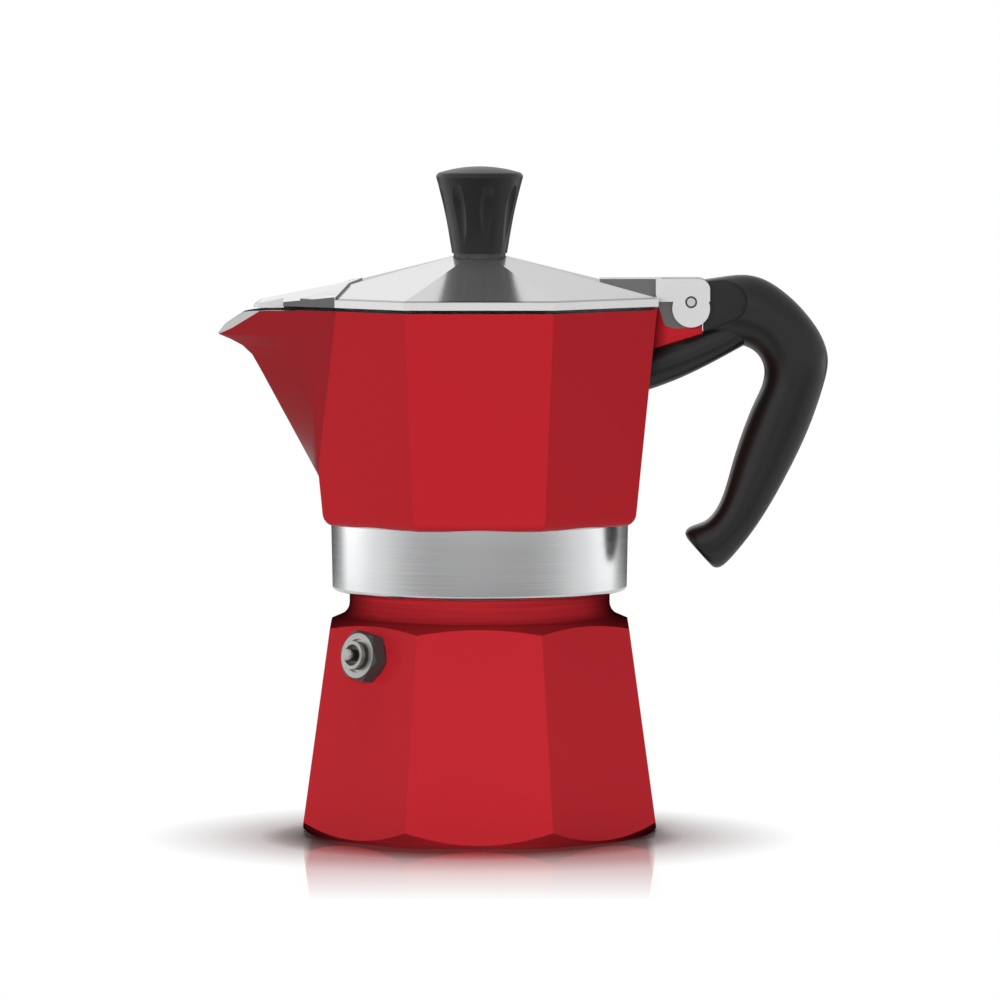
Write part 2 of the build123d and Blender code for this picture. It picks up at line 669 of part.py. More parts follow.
def make_handle():
    """Moulded grip and brace, scooped for the lid's ears, slotted for the lug and drilled for its screw."""
    grip = loft([grip_section(*station) for station in grip_stations() + handle_foot_stations])
    brace = loft([grip_section(*station) for station in brace_stations])
    jug = frustum(
        collector_apothem(collar_top_z) + seat_gap, collar_top_z,
        collector_apothem(collector_rim_z) + seat_gap, collector_rim_z)
    ear_reach = sqrt((ear_end_x - hinge_x) ** 2 + (tab_top_z - hinge_z) ** 2)
    scoop_outline = make_hull(
        (Pos(hinge_x, hinge_z) * Circle(ear_reach + scoop_gap)).edges()
        + (Pos(hinge_x + scoop_reach, hinge_z) * Circle(scoop_round)).edges())
    scoop = extrude(Plane.XZ * scoop_outline, 2 * ear_outer_y, both=True)
    web_width = 2 * (ear_inner_y - scoop_gap)
    scoop -= Pos(hinge_x, 0, hinge_z) * Box(4 * scoop_reach, web_width, 4 * scoop_reach)
    knuckle_way = cross_rod(lug_knuckle_radius + easy_gap, hinge_x, hinge_z, 2 * ear_outer_y)
    screw_way = Pos(screw_x, 0, 0) * rod(screw_diameter / 2 + easy_gap, screw_seat_z - 1, lug_foot_z + 1)
    head_way = Pos(screw_x, 0, 0) * rod(
        screw_head_diameter / 2 + easy_gap, screw_seat_z - 3 * screw_head_height, screw_seat_z)
    return grip + brace - jug - lug_plate(seat_gap) - knuckle_way - scoop - screw_way - head_way


def make_handle_screw():
    """Cheese-head screw from below, through the brace into the lug, with a driver slot."""
    head_z = screw_seat_z - screw_head_height
    screw = rod(screw_head_diameter / 2, head_z, screw_seat_z)
    screw += rod(screw_diameter / 2, screw_seat_z, screw_tip_z)
    slot = Pos(0, 0, head_z) * Box(screw_head_diameter, screw_slot_width, screw_head_height)
    return Pos(screw_x, 0, 0) * (screw - slot)


def cover_roof(drop):
    """Tall block above the spout cover's two falling roof planes and the tongue's bevel, lowered by drop."""
    reach = 4 * lid_apothem
    along = (1, 0, cover_ridge_slope)
    ridge = (cover_ridge_run - lid_apothem, 0, lid_foot_z + cover_ridge_rise - drop)
    block = Box(reach, reach, reach, align=(Align.CENTER, Align.CENTER, Align.MIN))
    half = Plane(origin=ridge, x_dir=along, z_dir=(-cover_ridge_slope, cover_side_slope, 1)).location * block
    bevel_run = tongue_overhang - tongue_bevel_run + cover_ridge_run
    bevel_place = (ridge[0] - bevel_run, 0, ridge[2] - bevel_run * cover_ridge_slope)
    bevel = Plane(origin=bevel_place, z_dir=(-tongue_bevel_slope, 0, 1)).location * block
    return half + mirror(half, Plane.XZ) + bevel


def spout_cover(inset):
    """Raised cover over the spout with a chevron inner edge and a tongue, or its hollow when inset."""
    corner_x = cover_corner_run - lid_apothem
    corner_width = lid_apothem / cos(radians(2 * half_side)) + corner_x
    shoulder_x = -lid_apothem - cover_overhang
    tip_x = -lid_apothem - tongue_overhang
    flank = [(corner_x, -corner_width), (shoulder_x, -cover_shoulder_half_width),
             (shoulder_x, -tongue_half_width), (tip_x, -tongue_half_width)]
    points = [(cover_apex_run - lid_apothem, 0)] + flank + [(x, -y) for x, y in reversed(flank)]
    plan = outline_face(points, [(4, tongue_tip_round), (5, tongue_tip_round)])
    if inset > 0:
        plan = offset(plan, -inset, kind=Kind.INTERSECTION)
    block = Pos(0, 0, lid_foot_z - tongue_drop - inset) * extrude(plan, 2 * cover_ridge_rise)
    behind_tongue = Pos(shoulder_x, 0, lid_foot_z - inset) * Box(
        lid_apothem, 4 * lid_apothem, 2 * tongue_drop, align=(Align.MIN, Align.CENTER, Align.MAX))
    return block - behind_tongue - cover_roof(inset)


def make_ear(side):
    """One hinge ear: a plate with a rounded corner above and a lobe below the pin."""
    root_x = lid_apothem - ear_root_depth
    foot_z = lid_foot_z + ear_foot_rise
    plate = outline_face(
        [(root_x, foot_z), (ear_end_x, foot_z), (ear_end_x, tab_top_z), (root_x, tab_top_z)],
        [(2, ear_corner_round)])
    lobe_x = ear_end_x - ear_lobe_radius
    plate += Pos(lobe_x, hinge_z - ear_lobe_drop) * Circle(ear_lobe_radius)
    ear = extrude(Plane.XZ * plate, ear_thickness / 2, both=True)
    return Pos(0, side * (ear_inner_y + ear_thickness / 2), 0) * ear


def make_lid():
    """Thin octagonal pyramid with a skirt, a seat for the knob, a spout cover and a forked hinge tab."""
    outside = frustum(lid_apothem, lid_foot_z, lid_apothem, lid_skirt_z)
    outside += frustum(lid_apothem, lid_skirt_z, lid_seat_diameter / 2, lid_peak_z)
    inner_apothem = lid_apothem - lid_sheet
    roof_drop = lid_sheet / cos(radians(lid_slope_angle))
    inside = frustum(inner_apothem, lid_foot_z - 1, inner_apothem, lid_top(inner_apothem) - roof_drop)
    inside += frustum(
        inner_apothem, lid_top(inner_apothem) - roof_drop, lid_seat_diameter / 2, lid_peak_z - roof_drop)
    seat = rod(lid_seat_diameter / 2, lid_seat_z - lid_seat_height, lid_seat_z)
    mid_sheet = lid_sheet / 2
    tab_start_x = lid_apothem - tab_run
    tab_end_x = lid_apothem + tab_overhang
    tab = side_plate([
        (tab_start_x, lid_top(tab_start_x) - mid_sheet), (lid_apothem - mid_sheet, lid_skirt_z - mid_sheet),
        (tab_end_x, lid_skirt_z - mid_sheet), (tab_end_x, tab_top_z), (tab_start_x, tab_top_z),
    ], tab_half_width)
    hollow = inside + spout_cover(lid_sheet)
    lid = outside + spout_cover(0) - hollow + seat + tab + make_ear(1) + make_ear(-1)
    stud_hole = rod(knob_stud_diameter / 2 + easy_gap, lid_foot_z, lid_seat_z + 1)
    pin_hole = cross_rod(hinge_pin_diameter / 2 + running_gap, hinge_x, hinge_z, 2 * ear_outer_y)
    return lid - stud_hole - pin_hole


def knob_radius(height):
    """Radius of the knob's flank at a height above the seat, straight between the outline's places."""
    for (low, low_radius), (high, high_radius) in zip(knob_outline, knob_outline[1:]):
        if height <= high:
            return low_radius + (height - low) / (high - low) * (high_radius - low_radius)
    return knob_outline[-1][1]


def knob_flute():
    """Round-bottomed cutter lofted up the flank, deepest near its top and running out below."""
    rings = []
    for height, depth in knob_flute_course:
        centre = knob_radius(height) + knob_flute_radius - depth
        rings.append(Pos(centre, 0, lid_seat_z + height) * Circle(knob_flute_radius))
    return loft(rings)


def make_knob():
    """Flared moulded knob with a domed top and a ring of flutes, blind-drilled for its stud."""
    rim_height, rim_radius = knob_outline[-1]
    edge = knob_edge_round
    spread = radians(knob_dome_angle)
    hub = rim_radius - edge
    dome_foot = (hub + edge * sin(spread), rim_height + edge * cos(spread))
    ball = dome_foot[0] / sin(spread)
    apex = dome_foot[1] + ball * (1 - cos(spread))
    flank = Spline(*[(radius, height) for height, radius in knob_outline])
    corner = (hub + edge * cos(radians(45)), rim_height + edge * sin(radians(45)))
    rim = ThreePointArc((rim_radius, rim_height), corner, dome_foot)
    crown = (ball * sin(spread / 2), apex - ball * (1 - cos(spread / 2)))
    dome = ThreePointArc(dome_foot, crown, (0, apex))
    closing = Polyline((0, apex), (0, 0), (knob_outline[0][1], 0))
    profile = make_face(flank + rim + dome + closing)
    knob = Pos(0, 0, lid_seat_z) * revolve(Plane.XZ * profile, Axis.Z)
    flutes = [Rot(0, 0, knob_flute_turn + 360 * number / knob_flute_count) * knob_flute()
              for number in range(knob_flute_count)]
    stud_hole = rod(knob_stud_diameter / 2 + press_gap, lid_seat_z - 1, lid_seat_z + knob_stud_depth)
    return knob - flutes - stud_hole


def knob_washer_z():
    """Height of the washer's underside, below the lid's seat."""
    return lid_seat_z - lid_seat_height - knob_washer_height


def make_knob_stud():
    """Threaded stud held in the knob, down through the lid, the washer and the nut."""
    low = knob_washer_z() - knob_nut_height - knob_stud_end
    return rod(knob_stud_diameter / 2, low, lid_seat_z + knob_stud_depth)


def make_knob_washer():
    """Plain washer under the lid."""
    low = knob_washer_z()
    ring = rod(knob_washer_diameter / 2, low, low + knob_washer_height)
    return ring - rod(knob_stud_diameter / 2 + easy_gap, low - 1, low + knob_washer_height + 1)


def make_knob_nut():
    """Hexagon nut on the stud, against the washer."""
    low = knob_washer_z() - knob_nut_height
    nut = Pos(0, 0, low) * extrude(RegularPolygon(knob_nut_flats / 2, 6, major_radius=False), knob_nut_height)
    return nut - rod(knob_stud_diameter / 2 + press_gap, low - 1, low + knob_nut_height + 1)


pieces = {
    "boiler_body": make_boiler,
    "valve_body": make_valve_body,
    "valve_washer": make_valve_washer,
    "valve_plunger": make_valve_plunger,
    "valve_seal": make_valve_seal,
    "valve_spring": make_valve_spring,
    "valve_retainer": make_valve_retainer,
    "funnel": make_funnel,
    "funnel_disc": make_funnel_disc,
    "gasket": make_gasket,
    "filter_plate": make_filter_plate,
    "collector_body": make_collector,
    "riser_tube": make_riser_tube,
    "riser_cap": make_riser_cap,
    "hinge_pin": make_hinge_pin,
    "handle": make_handle,
    "handle_screw": make_handle_screw,
    "lid": make_lid,
    "knob": make_knob,
    "knob_stud": make_knob_stud,
    "knob_washer": make_knob_washer,
    "knob_nut": make_knob_nut,
}

if __name__ == "__main__":
    os.makedirs("parts", exist_ok=True)
    for node, make in pieces.items():
        export_step(make(), f"parts/{node}.step")
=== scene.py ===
"""Red octagonal moka pot in a white studio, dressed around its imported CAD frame, in metres."""

import bpy
import numpy as np
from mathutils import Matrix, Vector


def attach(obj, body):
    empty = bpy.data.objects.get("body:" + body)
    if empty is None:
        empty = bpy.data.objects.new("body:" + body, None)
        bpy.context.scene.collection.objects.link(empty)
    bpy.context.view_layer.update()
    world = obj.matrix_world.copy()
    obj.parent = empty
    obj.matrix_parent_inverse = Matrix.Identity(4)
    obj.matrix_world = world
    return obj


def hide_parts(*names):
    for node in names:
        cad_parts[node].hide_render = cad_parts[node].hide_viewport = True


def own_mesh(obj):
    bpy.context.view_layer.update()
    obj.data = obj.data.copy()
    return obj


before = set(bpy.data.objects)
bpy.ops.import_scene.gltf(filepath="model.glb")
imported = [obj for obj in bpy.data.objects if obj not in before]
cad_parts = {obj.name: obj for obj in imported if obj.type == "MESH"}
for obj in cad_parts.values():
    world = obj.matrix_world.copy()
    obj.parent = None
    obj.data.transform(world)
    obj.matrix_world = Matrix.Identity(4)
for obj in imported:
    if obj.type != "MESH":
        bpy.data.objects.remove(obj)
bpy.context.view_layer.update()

# Boiler: the water pot, cast in aluminium with eight drafted sides and turned at its foot and shoulder.
# The outside is sprayed red and stoved; the shoulder, the foot of the neck and the bevel round the bottom
# show turning lines and are painted a deeper red as shade, darker still at a glance; the inside, the
# underside and the screwed neck stay bare metal.
MM = 0.001
PAINT_LOW, PAINT_HIGH = (0.45, 0.017, 0.024, 1), (0.48, 0.019, 0.027, 1)
PAINT_ROUGHNESS, PAINT_GRAIN, PAINT_BUMP = (0.20, 0.26), 700, 0.004 * MM
SHADE_PAINT_LOW, SHADE_PAINT_HIGH = (0.24, 0.013, 0.018, 1), (0.52, 0.022, 0.030, 1)
GLANCE_SHADE, GLANCE_RANGE = (0.02, 0.003, 0.004, 1), (0.42, 0.98)
SHOULDER_FACING, FOOT_FACING, FACING_OUT = 0.3, -0.1, 0.04
NECK_FOOT, NECK_PAINT_TOP = 56.5 * MM, 60.15 * MM
BOILER_MID_WALL = 30.3 * MM
SPECK_DETAIL, DRIFT_DETAIL, DRIFT_WIDTH = 3, 1, 40
LINE_DETAIL, LINE_SPAN = 4, (0.3, 0.7)


def grey(level):
    """Neutral colour of a given level."""
    return level, level, level, 1


def specks_group():
    """Soft specks for cast, sprayed and moulded skins: Fac is noise at the grain's size, Drift is noise
    many times wider for slow changes of tone, and both lie between 0 and 1."""
    group = bpy.data.node_groups.new("skin_specks", "ShaderNodeTree")
    group.interface.new_socket("Grain", in_out="INPUT", socket_type="NodeSocketFloat")
    group.interface.new_socket("Fac", in_out="OUTPUT", socket_type="NodeSocketFloat")
    group.interface.new_socket("Drift", in_out="OUTPUT", socket_type="NodeSocketFloat")
    nodes, links = group.nodes, group.links
    entry, leave = nodes.new("NodeGroupInput"), nodes.new("NodeGroupOutput")
    place, wider = nodes.new("ShaderNodeTexCoord"), nodes.new("ShaderNodeMath")
    fine, wide = nodes.new("ShaderNodeTexNoise"), nodes.new("ShaderNodeTexNoise")
    wider.operation = "MULTIPLY"
    wider.inputs[1].default_value = 1 / DRIFT_WIDTH
    fine.inputs["Detail"].default_value = SPECK_DETAIL
    wide.inputs["Detail"].default_value = DRIFT_DETAIL
    links.new(place.outputs["Object"], fine.inputs["Vector"])
    links.new(place.outputs["Object"], wide.inputs["Vector"])
    links.new(entry.outputs["Grain"], fine.inputs["Scale"])
    links.new(entry.outputs["Grain"], wider.inputs[0])
    links.new(wider.outputs[0], wide.inputs["Scale"])
    links.new(fine.outputs["Fac"], leave.inputs["Fac"])
    links.new(wide.outputs["Fac"], leave.inputs["Drift"])
    return group


def lines_group():
    """Fine lines left by turning, spinning or brushing: noise on coordinates stretched by Run, so that a
    high number along one axis packs the lines across it. Fac lies between 0 and 1."""
    group = bpy.data.node_groups.new("tool_lines", "ShaderNodeTree")
    group.interface.new_socket("Run", in_out="INPUT", socket_type="NodeSocketVector")
    group.interface.new_socket("Fac", in_out="OUTPUT", socket_type="NodeSocketFloat")
    nodes, links = group.nodes, group.links
    entry, leave = nodes.new("NodeGroupInput"), nodes.new("NodeGroupOutput")
    place, stretch = nodes.new("ShaderNodeTexCoord"), nodes.new("ShaderNodeVectorMath")
    noise = nodes.new("ShaderNodeTexNoise")
    stretch.operation = "MULTIPLY"
    noise.inputs["Scale"].default_value = 1
    noise.inputs["Detail"].default_value = LINE_DETAIL
    links.new(place.outputs["Object"], stretch.inputs[0])
    links.new(entry.outputs["Run"], stretch.inputs[1])
    links.new(stretch.outputs[0], noise.inputs["Vector"])
    links.new(noise.outputs["Fac"], leave.inputs["Fac"])
    return group


SPECKS, TOOL_LINES = specks_group(), lines_group()


def ranged(nodes, links, source, low, high, to_low=0.0, to_high=1.0):
    """Value that goes from to_low to to_high while the source goes from low to high."""
    node = nodes.new("ShaderNodeMapRange")
    node.inputs["From Min"].default_value, node.inputs["From Max"].default_value = low, high
    node.inputs["To Min"].default_value, node.inputs["To Max"].default_value = to_low, to_high
    links.new(source, node.inputs["Value"])
    return node.outputs["Result"]


def multiplied(nodes, links, first, *others):
    """Product of any number of values."""
    for other in others:
        both = nodes.new("ShaderNodeMath")
        both.operation = "MULTIPLY"
        links.new(first, both.inputs[0])
        links.new(other, both.inputs[1])
        first = both.outputs[0]
    return first


def object_axes(nodes, links):
    """X, Y and Z of the place on the object, as three values under these names."""
    place, split = nodes.new("ShaderNodeTexCoord"), nodes.new("ShaderNodeSeparateXYZ")
    links.new(place.outputs["Object"], split.inputs[0])
    return split.outputs


def patterned(name, group, entry, amount, wave, span, low, high, roughness, bump, metallic, specular):
    """Material over a node group whose entry gets the amount. Its colour goes from low to high along the
    output called wave; its roughness, over a span of Fac, and its bump, in metres, follow Fac."""
    material = bpy.data.materials.new(name)
    material.use_nodes = True
    nodes, links = material.node_tree.nodes, material.node_tree.links
    shader = nodes["Principled BSDF"]
    shader.inputs["Metallic"].default_value = metallic
    shader.inputs["Specular IOR Level"].default_value = specular
    pattern = nodes.new("ShaderNodeGroup")
    pattern.node_tree = group
    pattern.inputs[entry].default_value = amount
    tone, relief = nodes.new("ShaderNodeMix"), nodes.new("ShaderNodeBump")
    tone.data_type = "RGBA"
    tone.inputs["A"].default_value, tone.inputs["B"].default_value = low, high
    relief.inputs["Distance"].default_value = bump
    links.new(pattern.outputs[wave], tone.inputs["Factor"])
    links.new(tone.outputs["Result"], shader.inputs["Base Color"])
    links.new(ranged(nodes, links, pattern.outputs["Fac"], *span, *roughness), shader.inputs["Roughness"])
    links.new(pattern.outputs["Fac"], relief.inputs["Height"])
    links.new(relief.outputs["Normal"], shader.inputs["Normal"])
    return material


def skin(name, low, high, roughness, grain, bump, metallic=0.0, specular=0.5):
    """Cast, sprayed or moulded skin: its colour drifts slowly, its roughness and bump follow the specks."""
    return patterned(name, SPECKS, "Grain", grain, "Drift", (0, 1), low, high, roughness, bump, metallic,
                     specular)


def lined_skin(name, low, high, roughness, run, bump, metallic=1.0, specular=0.5):
    """Turned, spun or brushed skin: its colour, roughness and bump all follow the lines of its making."""
    return patterned(name, TOOL_LINES, "Run", run, "Fac", LINE_SPAN, low, high, roughness, bump, metallic,
                     specular)


def overlaid(material, colour, *masks):
    """Lay a colour over a material's own wherever all the masks, values between 0 and 1, are high."""
    nodes, links = material.node_tree.nodes, material.node_tree.links
    base = nodes["Principled BSDF"].inputs["Base Color"]
    tone = nodes.new("ShaderNodeMix")
    tone.data_type = "RGBA"
    tone.inputs["B"].default_value = colour
    links.new(multiplied(nodes, links, *masks), tone.inputs["Factor"])
    links.new(base.links[0].from_socket, tone.inputs["A"])
    links.new(tone.outputs["Result"], base)


def face_facts(node):
    """Middle and outward normal of every facet of a CAD node, as two arrays."""
    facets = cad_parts[node].data.polygons
    middle, normal = np.empty(len(facets) * 3), np.empty(len(facets) * 3)
    facets.foreach_get("center", middle)
    facets.foreach_get("normal", normal)
    return middle.reshape(-1, 3), normal.reshape(-1, 3)


def dress(node, *materials, pick=None):
    """Give a CAD node its materials; pick holds the number of the material for each facet."""
    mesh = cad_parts[node].data
    mesh.materials.clear()
    for material in materials:
        mesh.materials.append(material)
    numbers = np.zeros(len(mesh.polygons), int) if pick is None else pick.astype(int)
    mesh.polygons.foreach_set("material_index", numbers)


red_paint = skin("red_paint", PAINT_LOW, PAINT_HIGH, PAINT_ROUGHNESS, PAINT_GRAIN, PAINT_BUMP, specular=0.06)
# Deeper red: a painted shade for the shoulder, the neck's foot and the bottom bevel, with their turning
# lines.
turned_shade_paint = lined_skin("turned_shade_paint", SHADE_PAINT_LOW, SHADE_PAINT_HIGH, roughness=(0.2, 0.3), run=(30, 30, 1800),
                        bump=0.001 * MM, metallic=0.0, specular=0.0)
nodes, links = turned_shade_paint.node_tree.nodes, turned_shade_paint.node_tree.links
# Painted shade: the deeper red darkens further where the surface is seen at a glance.
glance = nodes.new("ShaderNodeLayerWeight")
overlaid(turned_shade_paint, GLANCE_SHADE, ranged(nodes, links, glance.outputs["Facing"], *GLANCE_RANGE))
cast_metal = skin("cast_metal", (0.56, 0.56, 0.55, 1), (0.66, 0.66, 0.65, 1), roughness=(0.34, 0.5),
                  grain=1800, bump=0.012 * MM, metallic=1.0)
middle, normal = face_facts("boiler_body")
radius = np.hypot(middle[:, 0], middle[:, 1])
outward = (middle[:, :2] * normal[:, :2]).sum(1) / radius
painted = (outward > FACING_OUT) & (radius > BOILER_MID_WALL) & (middle[:, 2] < NECK_PAINT_TOP)
# Faces that get the painted shade: the upward shoulder, the neck's foot and the downward bottom bevel.
turned = (normal[:, 2] > SHOULDER_FACING) | (middle[:, 2] > NECK_FOOT) | (normal[:, 2] < FOOT_FACING)
dress("boiler_body", cast_metal, red_paint, turned_shade_paint, pick=painted * (1 + turned))

# Neck thread: the rounded ridge cut on the boiler's bare neck, right-handed, which the collar screws onto.
# It is part of the casting; its ends fade into the neck.
THREAD_CORE, THREAD_HEIGHT = 31.3 * MM, 0.6 * MM
THREAD_FOOT, THREAD_TURNS, THREAD_PITCH = 62.2 * MM, 3.6, 3.0 * MM
THREAD_HALF_WIDTH, THREAD_SINK, THREAD_FADE = 0.95 * MM, 0.05 * MM, 0.06
THREAD_STEPS, THREAD_PLACES = 96, 13


def grid_mesh(name, points, tube=False):
    """Mesh of quads over a grid of points, (along, across, 3); a tube closes across and has flat ends."""
    along, across = points.shape[:2]
    number = np.arange(along * across).reshape(along, across)
    ends = [number[0].tolist(), number[-1, ::-1].tolist()] if tube else []
    if tube:
        number = np.hstack([number, number[:, :1]])
    quads = np.stack([number[:-1, :-1], number[1:, :-1], number[1:, 1:], number[:-1, 1:]], -1).reshape(-1, 4)
    mesh = bpy.data.meshes.new(name)
    mesh.from_pydata(points.reshape(-1, 3), [], quads.tolist() + ends)
    mesh.polygons.foreach_set("use_smooth", np.arange(len(mesh.polygons)) < len(quads))
    return mesh


def new_piece(name, mesh, *materials):
    """Object of the scene's own, made of a mesh with its materials."""
    for material in materials:
        mesh.materials.append(material)
    made = bpy.data.objects.new(name, mesh)
    bpy.context.collection.objects.link(made)
    return made


def helix_ridge(name, core, height, foot, turns):
    """Ridge wound about the axis: at turn t its crest stands height x fade(t) off the core radius, its
    section is a cosine across the width, and it climbs one pitch per turn. A negative height points in."""
    turn = np.linspace(0, turns, int(turns * THREAD_STEPS))[:, None]
    across = np.linspace(-1, 1, THREAD_PLACES)[None, :]
    fade = np.clip(np.minimum(turn, turns - turn) / THREAD_FADE, 0, 1)
    lift = height * fade * (0.5 + 0.5 * np.cos(np.pi * across))
    reach = core - np.sign(height) * THREAD_SINK + lift
    angle = 2 * np.pi * turn
    level = foot + THREAD_PITCH * turn + THREAD_HALF_WIDTH * across
    points = np.stack([reach * np.cos(angle), reach * np.sin(angle), level], -1)
    return grid_mesh(name, points if height > 0 else points[:, ::-1])


bare_metal = skin("bare_metal", grey(0.70), grey(0.78), roughness=(0.2, 0.3), grain=2500, bump=0.003 * MM,
                  metallic=1.0)
mesh = helix_ridge("neck_thread", THREAD_CORE, THREAD_HEIGHT, THREAD_FOOT, THREAD_TURNS)
neck_thread = new_piece("neck_thread", mesh, bare_metal)
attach(neck_thread, "boiler")

# Safety valve: a nickelled brass hexagon screwed into one face, with a sprung pin that can be pushed in.
# Its front is turned bright, and the sides of the hexagon are painted nearly black, a painted dark
# reflection.
# A fibre ring seals it on the paint, and a pressed ring in the bore holds the spring round the pin.
VALVE_ROOT = np.array((-26.925, -26.925, 45.8)) * MM
VALVE_AXIS = np.array((-0.700567, -0.700567, 0.135694))
HEX_INSIDE, SIDE_FACING = 5.2 * MM, 0.95

nickel = skin("nickel", (0.40, 0.39, 0.37, 1), (0.50, 0.49, 0.47, 1), roughness=(0.24, 0.36),
              grain=3000, bump=0.003 * MM, metallic=1.0)
# Near-black skin: painted shade and dark reflection, for the hexagon's sides and the knob's seat.
shade_skin = skin("shade_skin", (0.030, 0.034, 0.034, 1), (0.050, 0.054, 0.054, 1), roughness=(0.35, 0.5),
                 grain=3000, bump=0.006 * MM, specular=0.4)
red_fibre = skin("fibre_ring", (0.05, 0.01, 0.01, 1), (0.09, 0.015, 0.015, 1), roughness=(0.6, 0.75),
                 grain=3000, bump=0.01 * MM)
seal_rubber = skin("seal_rubber", (0.62, 0.60, 0.55, 1), (0.70, 0.68, 0.63, 1), roughness=(0.55, 0.7),
                   grain=1500, bump=0.006 * MM)
middle, normal = face_facts("valve_body")
along = (middle - VALVE_ROOT) @ VALVE_AXIS
off_axis = np.linalg.norm(middle - VALVE_ROOT - along[:, None] * VALVE_AXIS, axis=1)
hex_side = (np.abs(normal @ VALVE_AXIS) < SIDE_FACING) & (off_axis > HEX_INSIDE)
dress("valve_body", nickel, shade_skin, pick=hex_side)
dress("valve_plunger", nickel)
dress("valve_retainer", nickel)
dress("valve_washer", red_fibre)
dress("valve_seal", seal_rubber)

# Valve spring: round steel wire wound between the pin's flange and the pressed ring.
# The real spring shortens against the ring as the pin lifts; this coil is drawn at rest.
SPRING_FROM, SPRING_TO, SPRING_TURNS = -2.19 * MM, 2.89 * MM, 4
SPRING_RADIUS, SPRING_WIRE, SPRING_LIFT = 2.05 * MM, 0.25 * MM, 1.52 * MM
SPRING_STEPS, WIRE_SIDES = 40, 12


def coil_points(start, end, turns, radius, wire):
    """Tube about the valve's axis: its centre is radius x e(a) + height(a) x axis, with the angle a from 0
    to all the turns and e(a) the direction outwards; its round section lies across e(a) and the axis."""
    first = np.array((1, -1, 0)) / 2 ** 0.5
    second = np.cross(VALVE_AXIS, first)
    share = np.linspace(0, 1, turns * SPRING_STEPS + 1)[:, None]
    angle = 2 * np.pi * turns * share
    outwards = (np.cos(angle) * first + np.sin(angle) * second)[:, None, :]
    height = start + wire + (end - start - 2 * wire) * share
    around = np.linspace(0, 2 * np.pi, WIRE_SIDES, endpoint=False)[None, :, None]
    off = (radius + wire * np.cos(around)) * outwards
    return VALVE_ROOT + off + (height[:, :, None] + wire * np.sin(around)) * VALVE_AXIS


spring_steel = skin("spring_steel", (0.42, 0.42, 0.43, 1), (0.5, 0.5, 0.5, 1), roughness=(0.25, 0.35),
                    grain=4000, bump=0.002 * MM, metallic=1.0)
points = coil_points(SPRING_FROM, SPRING_TO, SPRING_TURNS, SPRING_RADIUS, SPRING_WIRE)
valve_coil = new_piece("valve_coil", grid_mesh("valve_coil", points, tube=True), spring_steel)
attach(valve_coil, "boiler")
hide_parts("valve_spring")
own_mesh(valve_coil)

# Funnel: thin spun aluminium cup and stem that hold the ground coffee over the water.
# A punched disc lies on the ledge at the bottom of its cup.
spun_metal = lined_skin("spun_metal", grey(0.66), grey(0.76), roughness=(0.22, 0.36), run=(60, 60, 5000),
                        bump=0.002 * MM)
dress("funnel", spun_metal)
dress("funnel_disc", bare_metal)

# Gasket and filter plate: a pale rubber ring in the collar's recess, with a punched plate held above it.
# The ring is squeezed on the funnel's flange when the pot is screwed shut.
dress("gasket", seal_rubber)
dress("filter_plate", bare_metal)

# Collector: the octagonal jug cast in one with its collar, spout and hinge lug.
# The jug is sprayed red like the boiler, with a painted shade darkening the spout's flanks up to their
# crease;
# the collar is turned and polished, the inside and the rim are bare, and the lug has a bare round face under
# the lid's ear, painted dark as the shade there.
COLLAR_TOP, COLLAR_INSIDE = 77.3 * MM, 33 * MM
FOOT_ROUND_TOP, FOOT_ROUND_INSIDE, FACING_DOWN = 81 * MM, 35 * MM, -0.2
FOOT_REACH, DRAFT, HALF_WALL = 38.68 * MM, 0.0988, 1.3 * MM
GROUND_FACE = 0.3
SPOUT_CORNER_Z, SPOUT_RIM_Z = 91.0 * MM, 131.3 * MM
SPOUT_CORNER_HALF, SPOUT_RIM_HALF, SPOUT_FADE = 16.58 * MM, 27.0 * MM, 0.2 * MM
SPOUT_SHADE = (0.31, 0.017, 0.023, 1)
LUG_START, LUG_HALF = 46.0 * MM, 5.3 * MM
SPOTFACE_X, SPOTFACE_Z, SPOTFACE_RADIUS = 49.7 * MM, 134.4 * MM, 8.25 * MM

collar_metal = lined_skin("collar_metal", (0.735, 0.74, 0.75, 1), (0.815, 0.82, 0.83, 1),
                          roughness=(0.18, 0.24), run=(25, 25, 4200), bump=0.0006 * MM)
# Dark metal: painted shade on the lug's round face, the sides of the lid's tab and the cover's step.
shaded_metal = skin("shaded_metal", grey(0.18), grey(0.25), roughness=(0.3, 0.45), grain=2000, bump=0.006 * MM,
                  metallic=1.0)
jug_paint = skin("jug_paint", PAINT_LOW, PAINT_HIGH, PAINT_ROUGHNESS, PAINT_GRAIN, PAINT_BUMP, specular=0.03)
nodes, links = jug_paint.node_tree.nodes, jug_paint.node_tree.links
place = object_axes(nodes, links)
off_middle, inside = nodes.new("ShaderNodeMath"), nodes.new("ShaderNodeMath")
off_middle.operation, inside.operation = "ABSOLUTE", "SUBTRACT"
half = ranged(nodes, links, place["Z"], SPOUT_CORNER_Z, SPOUT_RIM_Z, SPOUT_CORNER_HALF, SPOUT_RIM_HALF)
links.new(place["Y"], off_middle.inputs[0])
links.new(half, inside.inputs[0])
links.new(off_middle.outputs[0], inside.inputs[1])
